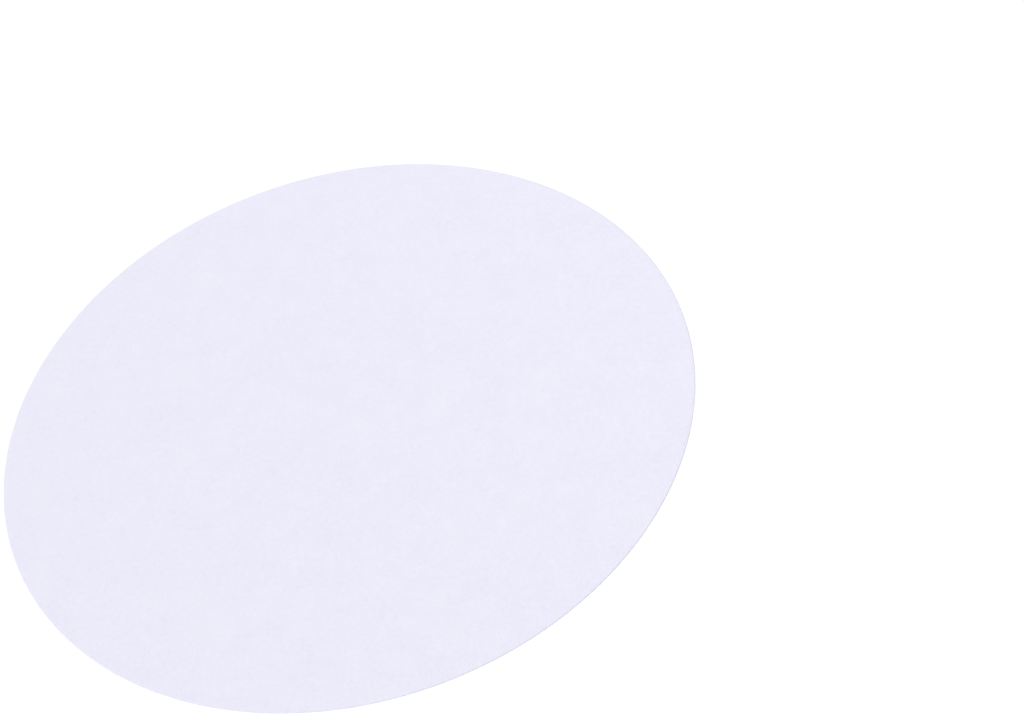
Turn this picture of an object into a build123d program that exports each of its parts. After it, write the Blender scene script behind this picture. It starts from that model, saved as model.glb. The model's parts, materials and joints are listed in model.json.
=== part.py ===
from build123d import *
import os

# Filter paper disc: one sheet of qualitative filter paper, punched round from the roll.
# Sizes are in millimetres and +Z is up. The disc lies flat, as it rests on a table, with its
# origin at the centre of the underside.

# Sheet
disc_diameter = 125.0    # the size that the disc is sold by
paper_thickness = 0.17   # one dry sheet of 80 g/m2 paper

# Punched rim: the blade enters from above and draws the surface down before it cuts, so the
# upper edge is rolled over and the lower edge stays sharp
rollover_width = 0.14    # from the rim inwards
rollover_depth = 0.05    # from the upper face downwards


def disc_section():
    """Half of the disc's cross-section in the XZ plane, from the centre line out to the rim."""
    rim_radius = disc_diameter / 2
    with BuildSketch(Plane.XZ) as section:
        with BuildLine():
            faces = Polyline(
                (rim_radius - rollover_width, paper_thickness),
                (0, paper_thickness),
                (0, 0),
                (rim_radius, 0),
                (rim_radius, paper_thickness - rollover_depth),
            )
            TangentArc(faces @ 0, faces @ 1, tangent=(1, 0))
        make_face()
    return section.sketch


def filter_disc():
    """The whole disc: its section turned once round the centre line."""
    disc = revolve(disc_section(), axis=Axis.Z, revolution_arc=360)
    disc.label = "filter_disc"
    return disc


os.makedirs("parts", exist_ok=True)
export_step(filter_disc(), "parts/filter_disc.step")
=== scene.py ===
import json
import math

import bpy
import numpy as np
from mathutils import Matrix, Vector


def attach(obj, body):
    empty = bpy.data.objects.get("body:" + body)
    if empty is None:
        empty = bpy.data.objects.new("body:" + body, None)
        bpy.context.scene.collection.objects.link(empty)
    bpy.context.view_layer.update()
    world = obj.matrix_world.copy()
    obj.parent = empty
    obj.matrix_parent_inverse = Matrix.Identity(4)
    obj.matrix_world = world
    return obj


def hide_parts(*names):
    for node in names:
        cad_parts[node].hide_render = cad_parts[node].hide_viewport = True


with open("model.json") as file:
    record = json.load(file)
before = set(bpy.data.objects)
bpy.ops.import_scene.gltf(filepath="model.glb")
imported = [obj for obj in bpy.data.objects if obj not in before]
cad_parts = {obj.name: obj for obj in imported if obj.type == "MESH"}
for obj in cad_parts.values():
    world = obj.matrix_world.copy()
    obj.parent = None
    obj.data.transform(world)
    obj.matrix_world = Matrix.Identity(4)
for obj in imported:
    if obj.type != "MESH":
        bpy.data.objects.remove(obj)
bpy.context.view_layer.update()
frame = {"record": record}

# A round sheet of filter paper, lying on a white table. Lengths are in metres.
MM = 0.001

# Sizes that the frame gives
MOUNTS = {mount["name"]: mount for mount in frame["record"]["mounts"]}
RIM_RADIUS = MOUNTS["underside"]["dims"]["r_mm"] * MM
FLAT_RADIUS = MOUNTS["filtering_side"]["dims"]["r_mm"] * MM
THICKNESS = MOUNTS["filtering_side"]["pos_m"][2]

# Punched edge
ROLLOVER_DEPTH = 0.05 * MM               # how far the punch drew the upper edge down
CUT_FRAY = 0.012 * MM                    # how far the cut falls short of the true circle

# Unevenness of the sheet: the lengths of its hills, and their height from lowest to highest
COCKLE_LENGTHS = (26 * MM, 11 * MM)      # slow waves that both sides share, from uneven drying
COCKLE_HEIGHT = 0.014 * MM
FLOC_LENGTHS = (7 * MM, 3.4 * MM)        # clumps of fibre, with thinner paper between them
FLOC_HEIGHT = 0.012 * MM
RIPPLES = 40                             # straight ripples added up for each length
RIPPLE_SPREAD = (0.7, 1.4)               # a ripple's own length over the length given
RANDOM_SEED = 125

# Grid
RINGS = 105                      # circles of points on each side of the sheet
ROLLOVER_RINGS = 3               # those of them that make the rounded upper edge
SHARP_ANGLE = math.radians(40)   # the cut's own edges turn further than this

# Paper surface. Cotton and wood fibres are about 0.03 mm wide, too fine to show. So they are
# drawn about twice as wide, and every second layer coarser still, to show from a step away
FIBRE_WIDTHS = (0.18 * MM, 0.07 * MM, 0.11 * MM, 0.05 * MM)   # taken in turn by the layers
FIBRE_SLENDERNESS = 14                   # length over width
FIBRE_TURNS = range(8, 180, 24)          # degrees from X, one for each layer
FIBRE_RIDGE = (0.50, 0.78)               # noise below the first is bare, above the second is fibre
NOISE_STEP = 1 * MM                      # the layers read the noise this far apart a degree
BEND_SIZES = (5 * MM, 0.9 * MM)          # the fibres' long sweeps and their short kinks
BEND_SHIFTS = (4 * MM, 0.6 * MM)
LAYER_HEIGHT = 0.03 * MM                 # fibres lie flat in the sheet, one on another
FIBRE_RELIEF = 0.011 * MM                # how far a fibre stands up
NAP_SIZE = 0.9 * MM                      # soft bumps in the dried felt, with finer ones among them
NAP_RELIEF = 0.06 * MM                   # the noise uses about a third of it
CLOUD_SIZE = 12 * MM                     # soft clouds of thinner and thicker paper
WIRE_PITCH = 0.35 * MM                   # from thread to thread of the cloth it was formed on
WIRE_RELIEF = 0.015 * MM                 # how far its print goes up and down

# Paper colour, from thin places and painted shade in hollows to thick places and lit tops, and what
# each pattern adds to that
THIN_PAPER_AND_HOLLOW_SHADE = "#E3E2F9"
THICK_PAPER_AND_LIT_TOPS = "#F8F8FF"
CLOUD_SHARE = 0.45
# The nap and the fibres add painted shade: the hollows between the nap's bumps and the gaps between
# the fibres are drawn darker, as if shaded, and the fibres are partly lighter in their own right
NAP_SHADE_SHARE = 0.35
FIBRE_AND_SHADE_SHARE = 0.20

# Paper gloss
CELLULOSE_IOR = 1.5
SPECULAR_LEVEL = 0.3                     # under the usual 0.5, because loose fibres scatter it
BARE_ROUGHNESS = 0.95                    # between the fibres
FIBRE_ROUGHNESS = 0.85                   # on them, where the light just glints

# Camera: it looks down at the sheet at the photograph's angle
LENS_MM = 100.0
SENSOR_MM = 36.0
CAMERA_AIM = Vector((31.4 * MM, 2.4 * MM, 0.0))
CAMERA_DISTANCE = 504 * MM
CAMERA_ELEVATION = math.radians(47.1)
CAMERA_ROLL = math.radians(-16.43)

# Light: the levels add up to about 1 on the table, at which a colour renders as it is written
SKY_LEVEL = 0.65
KEY_LEVEL = 0.30
KEY_FROM = Vector((-0.65, 0.05, 0.70))   # a direction, as for any sun
KEY_SPREAD = math.radians(35)
FILL_LEVEL = 0.05
FILL_FROM = Vector((330 * MM, 60 * MM, 330 * MM))
FILL_SIZE = 200 * MM
TABLE_SIZE = 6.0                 # so wide that it reaches past the picture
TABLE_LIFT = 0.08                # light of the table's own in the picture, to keep it pure white


def linear(hex_colour):
    """An sRGB hex colour as the linear RGBA that the shaders take, by the sRGB standard's curve."""
    srgb = np.array([int(hex_colour[i:i + 2], 16) for i in (1, 3, 5)]) / 255
    low, high = srgb / 12.92, ((srgb + 0.055) / 1.055) ** 2.4
    return (*np.where(srgb <= 0.04045, low, high).tolist(), 1.0)


def node(tree, kind, inputs=(), **settings):
    """Adds one node with its settings, inputs and links.

    An input takes a value, the output of another node, or that node, which stands for its first
    output.
    """
    made = tree.nodes.new("ShaderNode" + kind)
    for name, value in settings.items():
        setattr(made, name, value)
    for name, value in dict(inputs).items():
        if isinstance(value, bpy.types.Node):
            value = value.outputs[0]
        if isinstance(value, bpy.types.NodeSocket):
            tree.links.new(value, made.inputs[name])
        else:
            made.inputs[name].default_value = value
    return made


def empty_tree(holder):
    """The node tree of a material or a world, with nothing in it."""
    holder.use_nodes = True
    holder.node_tree.nodes.clear()
    return holder.node_tree


# Shape

def disc_grid():
    """Ring numbers and angles of a square grid that is bent into a disc.

    The grid has a and b from -RINGS to RINGS. A point's ring is the larger of |a| and |b|, so each
    square of points becomes a circle, and the angle grows evenly along the square's four sides.
    """
    steps = np.arange(-RINGS, RINGS + 1.0)
    a, b = np.meshgrid(steps, steps, indexing="ij")
    ring = np.maximum(np.abs(a), np.abs(b))
    along_a = np.abs(a) >= np.abs(b)
    longer = np.where(along_a, a, b)
    shorter = np.where(along_a, b, -a)
    eighth = math.pi / 4 * shorter / np.where(ring == 0, 1, longer)
    angle = eighth + np.where(along_a, 0, math.pi / 2) + np.where(longer < 0, math.pi, 0)
    return ring.astype(int), angle


def upper_profile():
    """Radius and drop of each ring of the upper face.

    The rings are evenly spaced out to the flat radius. The last few follow the rollover, an arc that
    leaves the face level and ends at the cut, so its radius is (width^2 + depth^2) / (2 depth).
    """
    width = RIM_RADIUS - FLAT_RADIUS
    arc_radius = (width**2 + ROLLOVER_DEPTH**2) / (2 * ROLLOVER_DEPTH)
    turn = np.linspace(0, math.asin(width / arc_radius), ROLLOVER_RINGS + 1)[1:]
    level = np.linspace(0, FLAT_RADIUS, RINGS - ROLLOVER_RINGS + 1)
    radius = np.concatenate([level, FLAT_RADIUS + arc_radius * np.sin(turn)])
    drop = np.concatenate([0 * level, arc_radius * (1 - np.cos(turn))])
    return radius, drop


def unevenness(x, y, lengths, random):
    """A smooth random height field that runs from 0 to 1, with hills near each of the lengths.

    It is a sum of straight cosine ripples. Each has a random direction and phase, a random length
    about one of those given, and a height in proportion to its length.
    """
    length = np.repeat(lengths, RIPPLES) * random.uniform(*RIPPLE_SPREAD, RIPPLES * len(lengths))
    heading, phase = random.uniform(0, 2 * math.pi, (2, length.size))
    across = x[..., None] * np.cos(heading) + y[..., None] * np.sin(heading)
    field = (length * np.cos(2 * math.pi * across / length + phase)).sum(-1)
    return (field - field.min()) / np.ptp(field)


def sheet_points():
    """Points of the sheet: the upper side's grid, the underside's grid, and a row along the cut.

    Both sides ride on the same slow waves. The upper side lies above them by the sheet's thickness,
    less the waves' height, the thinner places and the rollover, so that nothing stands higher than
    the thickness. Points at the cut fall short of the true circle by up to the fray.
    """
    random = np.random.default_rng(RANDOM_SEED)
    ring, angle = disc_grid()
    upper_radius, drop = upper_profile()
    lower_radius = np.linspace(0, RIM_RADIUS, RINGS + 1)
    radius = np.stack([upper_radius[ring], lower_radius[ring]])
    radius -= (ring == RINGS) * random.uniform(0, CUT_FRAY, radius.shape)
    x, y = radius * np.cos(angle), radius * np.sin(angle)

    z = COCKLE_HEIGHT * unevenness(x, y, COCKLE_LENGTHS, random)
    thinner = FLOC_HEIGHT * unevenness(x[0], y[0], FLOC_LENGTHS, random)
    z[0] += THICKNESS - COCKLE_HEIGHT - thinner - drop[ring]
    upper, lower = np.stack([x, y, z], axis=-1).reshape(2, -1, 3)
    border = grid_border(0)
    cut = (upper[border] + lower[border]) / 2
    cut[:, :2] *= 1 - random.uniform(0, CUT_FRAY / RIM_RADIUS, (len(cut), 1))
    return upper, lower, cut


def grid_numbers(start):
    """Point numbers of one side's grid, laid out as the grid is."""
    side = 2 * RINGS + 1
    return start + np.arange(side * side).reshape(side, side)


def grid_faces(start):
    """Quads of one side, seen from above. Each is split along the line that points outwards."""
    number = grid_numbers(start)
    corners = [number[:-1, :-1], number[1:, :-1], number[1:, 1:], number[:-1, 1:]]
    middle = np.arange(2 * RINGS) - RINGS + 0.5
    same_sign = (middle[:, None] * middle[None, :] > 0)[..., None]
    straight = np.stack(corners, axis=-1)
    turned = np.stack(corners[1:] + corners[:1], axis=-1)
    return np.where(same_sign, straight, turned).reshape(-1, 4)


def grid_border(start):
    """Numbers of one side's outermost points, in order round the rim."""
    number = grid_numbers(start)
    return np.concatenate([number[-1, :-1], number[:0:-1, -1], number[0, :0:-1], number[:-1, 0]])


def band_faces(lower, upper):
    """Quads between two closed rows of points that run the same way round."""
    quads = [lower, np.roll(lower, -1), np.roll(upper, -1), upper]
    return np.stack(quads, axis=-1)


def make_sheet():
    """The sheet as one closed mesh, smooth on both faces and sharp along the cut."""
    upper, lower, cut = sheet_points()
    per_side = len(upper)
    cut_row = 2 * per_side + np.arange(len(cut))
    upper_faces = grid_faces(0)
    lower_faces = grid_faces(per_side)[:, ::-1]
    cut_faces = [band_faces(grid_border(per_side), cut_row), band_faces(cut_row, grid_border(0))]
    faces = np.concatenate([lower_faces, upper_faces, *cut_faces])
    mesh = bpy.data.meshes.new("filter_sheet")
    mesh.from_pydata(np.concatenate([upper, lower, cut]).tolist(), [], faces.tolist())
    mesh.materials.append(filter_paper("filter_paper_felt_side", wire_side=False))
    mesh.materials.append(filter_paper("filter_paper_wire_side", wire_side=True))
    is_lower = np.arange(len(faces)) < len(lower_faces)
    mesh.polygons.foreach_set("material_index", is_lower.astype(np.int32))
    mesh.shade_smooth()
    mesh.set_sharp_from_angle(angle=SHARP_ANGLE)
    mesh.update()
    sheet = bpy.data.objects.new("filter_sheet", mesh)
    bpy.context.scene.collection.objects.link(sheet)
    return sheet


# Materials

def bent(tree, place, size, distance):
    """The place moved along X and Y by up to the distance, by noise of one size."""
    noise = node(tree, "TexNoise", {"Vector": place, "Scale": 1 / size, "Detail": 0.0})
    shift = {0: noise.outputs["Color"], 1: (distance, distance, 0), 2: place}
    return node(tree, "VectorMath", shift, operation="MULTIPLY_ADD")


def fibre_layer(tree, place, turn, width):
    """Loose fibres that lie one way: noise drawn out along the fibre, with only its ridges kept."""
    part = (turn * NOISE_STEP, 0, 0)
    heading = (0, 0, math.radians(turn))
    turned = node(tree, "Mapping", {"Vector": place, "Location": part, "Rotation": heading})
    stretch = (1 / (FIBRE_SLENDERNESS * width), 1 / width, 1 / LAYER_HEIGHT)
    drawn = node(tree, "Mapping", {"Vector": turned, "Scale": stretch})
    noise = node(tree, "TexNoise", {"Vector": drawn, "Scale": 1.0, "Detail": 1.0})
    ridges = {"Value": noise, "From Min": FIBRE_RIDGE[0], "From Max": FIBRE_RIDGE[1]}
    return node(tree, "MapRange", ridges, interpolation_type="SMOOTHSTEP")


def fibre_web(tree, place):
    """Fibres laid every way, the higher one on top.

    They are bent, because the place is moved by slow noise before they are drawn.
    """
    for size, distance in zip(BEND_SIZES, BEND_SHIFTS):
        place = bent(tree, place, size, distance)
    web = 0.0
    for number, turn in enumerate(FIBRE_TURNS):
        layer = fibre_layer(tree, place, turn, FIBRE_WIDTHS[number % len(FIBRE_WIDTHS)])
        web = node(tree, "Math", {0: layer, 1: web}, operation="MAXIMUM")
    return web


def wire_cloth(tree, place):
    """The print of the forming wire, whose threads pass over and under each other by turns.

    It is a chequer of pits and humps: a sine wave along X times one along Y, each two threads long.
    """
    waves = []
    for axis in node(tree, "SeparateXYZ", {0: place}).outputs[:2]:
        along = node(tree, "Math", {0: axis, 1: math.pi / WIRE_PITCH}, operation="MULTIPLY")
        waves.append(node(tree, "Math", {0: along}, operation="SINE"))
    return node(tree, "Math", {0: waves[0], 1: waves[1]}, operation="MULTIPLY")


def paper_colour(tree, clouds, nap, web):
    """Lighter where clumps make the paper thicker, with painted shade: darker in the hollows between
    the nap's bumps and between the fibres, lighter on their tops.
    """
    tone = node(tree, "Math", {0: clouds, 1: CLOUD_SHARE}, operation="MULTIPLY")
    # Painted shade: the nap's hollows and the gaps between the fibres are drawn darker
    tone = node(tree, "Math", {0: nap, 1: NAP_SHADE_SHARE, 2: tone}, operation="MULTIPLY_ADD")
    tone = node(tree, "Math", {0: web, 1: FIBRE_AND_SHADE_SHARE, 2: tone}, operation="MULTIPLY_ADD")
    # A Mix node takes its share and its two colours at 0, 6 and 7, and gives the colour at 2
    shades = {0: tone, 6: linear(THIN_PAPER_AND_HOLLOW_SHADE), 7: linear(THICK_PAPER_AND_LIT_TOPS)}
    return node(tree, "Mix", shades, data_type="RGBA").outputs[2]


def paper_relief(tree, place, nap, web, wire_side):
    """The bumps of the fibres and the nap, and on one side the print of the wire."""
    height = node(tree, "Math", {0: web, 1: FIBRE_RELIEF}, operation="MULTIPLY")
    height = node(tree, "Math", {0: nap, 1: NAP_RELIEF, 2: height}, operation="MULTIPLY_ADD")
    if wire_side:
        imprint = {0: wire_cloth(tree, place), 1: WIRE_RELIEF, 2: height}
        height = node(tree, "Math", imprint, operation="MULTIPLY_ADD")
    # The height is in metres, so a distance of 1 takes it as it is
    return node(tree, "Bump", {"Height": height, "Distance": 1.0, "Strength": 1.0})


def filter_paper(name, wire_side):
    """Filter paper: cotton and wood fibres laid down wet on a wire and dried, with no glaze.

    To the eye it is a matt, very pale, faintly violet white. Its fibres settle in clumps, which
    makes soft clouds some millimetres wide, and its surface is a felt of fine bent fibres. The side
    that lay on the wire keeps the faint print of its threads.
    """
    material = bpy.data.materials.new(name)
    tree = empty_tree(material)
    place = node(tree, "TexCoord").outputs["Object"]
    clouds = node(tree, "TexNoise", {
        "Vector": place,
        "Scale": 1 / CLOUD_SIZE,
        "Detail": 5.0,
        "Roughness": 0.8,
    })
    nap = node(tree, "TexNoise", {
        "Vector": place,
        "Scale": 1 / NAP_SIZE,
        "Detail": 4.0,
        "Roughness": 0.6,
    })
    web = fibre_web(tree, place)
    gloss = {"Value": web, "To Min": BARE_ROUGHNESS, "To Max": FIBRE_ROUGHNESS}
    shader = node(tree, "BsdfPrincipled", {
        "Base Color": paper_colour(tree, clouds, nap, web),
        "Roughness": node(tree, "MapRange", gloss),
        "IOR": CELLULOSE_IOR,
        "Specular IOR Level": SPECULAR_LEVEL,
        "Normal": paper_relief(tree, place, nap, web, wire_side),
    })
    node(tree, "OutputMaterial", {"Surface": shader})
    return material


# Stage

def strength_by_ray(tree, seen, shed):
    """One strength where a thing is seen, and another for the light that it sheds.

    It is seen by the camera itself, in a glossy surface or through a clear one.
    """
    rays = node(tree, "LightPath").outputs
    in_picture = rays["Is Camera Ray"]
    for ray in ("Is Glossy Ray", "Is Transmission Ray"):
        in_picture = node(tree, "Math", {0: in_picture, 1: rays[ray]}, operation="MAXIMUM")
    return node(tree, "MapRange", {"Value": in_picture, "To Min": shed, "To Max": seen})


def white_table():
    """A plain white table top, which renders pure white and still takes the sheet's shadow."""
    material = bpy.data.materials.new("white_table_top")
    tree = empty_tree(material)
    matt = node(tree, "BsdfDiffuse", {"Color": linear("#FFFFFF")})
    lift = node(tree, "Emission", {"Strength": strength_by_ray(tree, seen=TABLE_LIFT, shed=0.0)})
    node(tree, "OutputMaterial", {"Surface": node(tree, "AddShader", {0: matt, 1: lift})})
    mesh = bpy.data.meshes.new("table_top")
    half = TABLE_SIZE / 2
    corners = [(-half, -half, 0), (half, -half, 0), (half, half, 0), (-half, half, 0)]
    mesh.from_pydata(corners, [], [(0, 1, 2, 3)])
    mesh.materials.append(material)
    table = bpy.data.objects.new("table_top", mesh)
    bpy.context.scene.collection.objects.link(table)
    return table


def sky():
    """Level white light from all round, which the camera sees as white."""
    world = bpy.data.worlds.new("studio")
    tree = empty_tree(world)
    strength = strength_by_ray(tree, seen=1.0, shed=SKY_LEVEL)
    light = node(tree, "Background", {"Color": linear("#FFFFFF"), "Strength": strength})
    node(tree, "OutputWorld", {"Surface": light})
    bpy.context.scene.world = world


def add_lamp(name, kind, place, **settings):
    """A lamp at a place, turned to face the middle of the sheet."""
    lamp = bpy.data.lights.new(name, kind)
    for setting, value in settings.items():
        setattr(lamp, setting, value)
    holder = bpy.data.objects.new(name, lamp)
    holder.location = place
    holder.rotation_euler = place.to_track_quat("Z", "Y").to_euler()
    bpy.context.scene.collection.objects.link(holder)


def lights():
    """A soft key from the left, and a weak fill that lifts the right side by a little.

    A sun of strength E lights the table to the level E sin(elevation) / pi, and a small lamp of
    power P at a distance d lights it to P sin(elevation) / (pi d)^2.
    """
    key_sine = KEY_FROM.normalized().z
    key_strength = KEY_LEVEL * math.pi / key_sine
    add_lamp("key", "SUN", KEY_FROM, energy=key_strength, angle=KEY_SPREAD)
    fill_sine = FILL_FROM.normalized().z
    fill_power = FILL_LEVEL * math.pi**2 * FILL_FROM.length_squared / fill_sine
    add_lamp("fill", "AREA", FILL_FROM, energy=fill_power, size=FILL_SIZE)


def camera():
    """Back from the aim point along the line of sight, with the sensor turned about that line."""
    view = bpy.data.cameras.new("camera")
    view.lens = LENS_MM
    view.sensor_width = SENSOR_MM
    holder = bpy.data.objects.new("camera", view)
    tilt = Matrix.Rotation(math.pi / 2 - CAMERA_ELEVATION, 4, "X")
    roll = Matrix.Rotation(CAMERA_ROLL, 4, "Z")
    back = tilt @ Vector((0, 0, CAMERA_DISTANCE))
    holder.matrix_world = Matrix.Translation(CAMERA_AIM + back) @ tilt @ roll
    bpy.context.scene.collection.objects.link(holder)
    bpy.context.scene.camera = holder


bpy.context.scene.view_settings.view_transform = "Standard"
camera()
sky()
lights()
table = white_table()
sheet = make_sheet()
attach(sheet, "root")
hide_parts("filter_disc")
